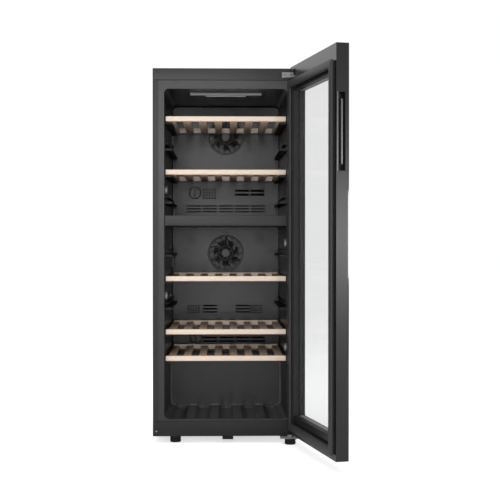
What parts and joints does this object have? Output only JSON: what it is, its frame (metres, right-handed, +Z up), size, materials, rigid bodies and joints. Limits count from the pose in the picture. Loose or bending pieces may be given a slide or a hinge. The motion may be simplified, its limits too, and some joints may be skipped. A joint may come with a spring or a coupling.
{
  "type": "wine cooler",
  "caption": "Tall freestanding dual-zone wine cooler, its full-height glass door standing open, with slide-out wooden shelves, a zone divider, fans behind vented covers and a compressor bay.",
  "frame": {"origin": "on the floor, below the middle of the cabinet's front face", "axes": "+X to the right of someone facing the cooler, +Y into the cabinet, +Z up"},
  "size_m": [0.6111, 1.0373, 1.27],
  "materials": {
    "shell_paint": "satin",
    "front_trim": "satin",
    "liner_plastic": "matte",
    "foam": "matte",
    "zinc_steel": "satin",
    "cover_paint": "matte",
    "cover_plastic": "satin",
    "aluminium": "satin",
    "black_plastic": "matte",
    "fan_plastic": "satin",
    "bright_metal": "satin",
    "lens": "satin",
    "panel_gloss": "gloss",
    "white_plastic": "satin",
    "compressor_paint": "gloss",
    "rubber": "matte",
    "copper": "polished",
    "bracket_steel": "satin",
    "glass": "gloss",
    "gasket": "matte",
    "beech": "satin"
  },
  "bodies": {
    "cabinet": {"outer_shell": "shell_paint", "top_trim": "front_trim", "bottom_fascia": "front_trim", "blanking_caps": "bright_metal", "inner_liner": "liner_plastic", "foam_insulation": "foam", "rear_panel": "zinc_steel", "base_pan": "zinc_steel", "compressor_tray": "zinc_steel", "compressor_cover": "cover_paint", "zone_divider": "liner_plastic", "evaporator_cover_upper": "cover_plastic", "evaporator_cover_lower": "cover_plastic", "evaporators": "aluminium", "fan_motors": "black_plastic", "fan_guards": "cover_plastic", "lamp_housings": "black_plastic", "lamp_lenses": "lens", "control_panel": "panel_gloss", "shelf_guides": "liner_plastic", "temperature_sensors": "white_plastic", "compressor": "compressor_paint", "compressor_mounts": "rubber", "condensate_tray": "black_plastic", "drain_tube": "white_plastic", "refrigerant_pipes": "copper", "condenser_coil": "aluminium", "condenser_fan_motor": "black_plastic", "power_inlet": "black_plastic", "control_board": "black_plastic", "hinge_bracket_top": "bracket_steel", "hinge_bracket_bottom": "bracket_steel", "hinge_screws": "bright_metal", "fixed_feet": "rubber"},
    "door": {"door_rails": "front_trim", "door_stile_free": "front_trim", "door_stile_hinge": "front_trim", "handle_grip": "bright_metal", "outer_glass": "glass", "inner_glass": "glass", "glass_spacer": "aluminium", "door_gasket": "gasket", "hinge_bushes": "white_plastic"},
    "shelf_1": {"shelf_1_front": "beech", "shelf_1_rack": "beech"},
    "shelf_2": {"shelf_2_front": "beech", "shelf_2_rack": "beech"},
    "shelf_3": {"shelf_3_front": "beech", "shelf_3_rack": "beech"},
    "shelf_4": {"shelf_4_front": "beech", "shelf_4_rack": "beech"},
    "shelf_5": {"shelf_5_front": "beech", "shelf_5_rack": "beech"},
    "upper_fan": {"fan_rotor_upper": "fan_plastic"},
    "lower_fan": {"fan_rotor_lower": "fan_plastic"},
    "condenser_fan": {"condenser_fan_rotor": "fan_plastic"},
    "upper_filter": {"carbon_filter_upper": "black_plastic"},
    "lower_filter": {"carbon_filter_lower": "black_plastic"},
    "left_foot": {"front_foot_left": "rubber"},
    "right_foot": {"front_foot_right": "rubber"}
  },
  "joints": [
    {"name": "door_hinge", "type": "hinge", "parent": "cabinet", "child": "door", "pos_m": [0.234, -0.028, 0.6], "axis": [0, 0, 1], "range_deg": [-102.5, 12.5]},
    {"name": "shelf_1_slide", "type": "slide", "parent": "cabinet", "child": "shelf_1", "axis": [0, -1, 0], "range_m": [0, 0.24]},
    {"name": "shelf_2_slide", "type": "slide", "parent": "cabinet", "child": "shelf_2", "axis": [0, -1, 0], "range_m": [0, 0.24]},
    {"name": "shelf_3_slide", "type": "slide", "parent": "cabinet", "child": "shelf_3", "axis": [0, -1, 0], "range_m": [0, 0.24]},
    {"name": "shelf_4_slide", "type": "slide", "parent": "cabinet", "child": "shelf_4", "axis": [0, -1, 0], "range_m": [0, 0.24]},
    {"name": "shelf_5_slide", "type": "slide", "parent": "cabinet", "child": "shelf_5", "axis": [0, -1, 0], "range_m": [0, 0.24]},
    {"name": "upper_fan_spin", "type": "hinge", "parent": "cabinet", "child": "upper_fan", "pos_m": [0, 0.475, 1.082], "axis": [0, 1, 0], "continuous": true},
    {"name": "lower_fan_spin", "type": "hinge", "parent": "cabinet", "child": "lower_fan", "pos_m": [0, 0.475, 0.639], "axis": [0, 1, 0], "continuous": true},
    {"name": "condenser_fan_spin", "type": "hinge", "parent": "cabinet", "child": "condenser_fan", "pos_m": [-0.13, 0.4415, 0.105], "axis": [1, 0, 0], "continuous": true},
    {"name": "upper_filter_turn", "type": "hinge", "parent": "cabinet", "child": "upper_filter", "pos_m": [-0.117, 0.465, 0.868], "axis": [0, 1, 0], "range_deg": [0, 90]},
    {"name": "lower_filter_turn", "type": "hinge", "parent": "cabinet", "child": "lower_filter", "pos_m": [-0.115, 0.465, 0.318], "axis": [0, 1, 0], "range_deg": [0, 90]},
    {"name": "left_foot_level", "type": "slide", "parent": "cabinet", "child": "left_foot", "axis": [0, 0, -1], "range_m": [0, 0.01]},
    {"name": "right_foot_level", "type": "slide", "parent": "cabinet", "child": "right_foot", "axis": [0, 0, -1], "range_m": [0, 0.005]}
  ]
}
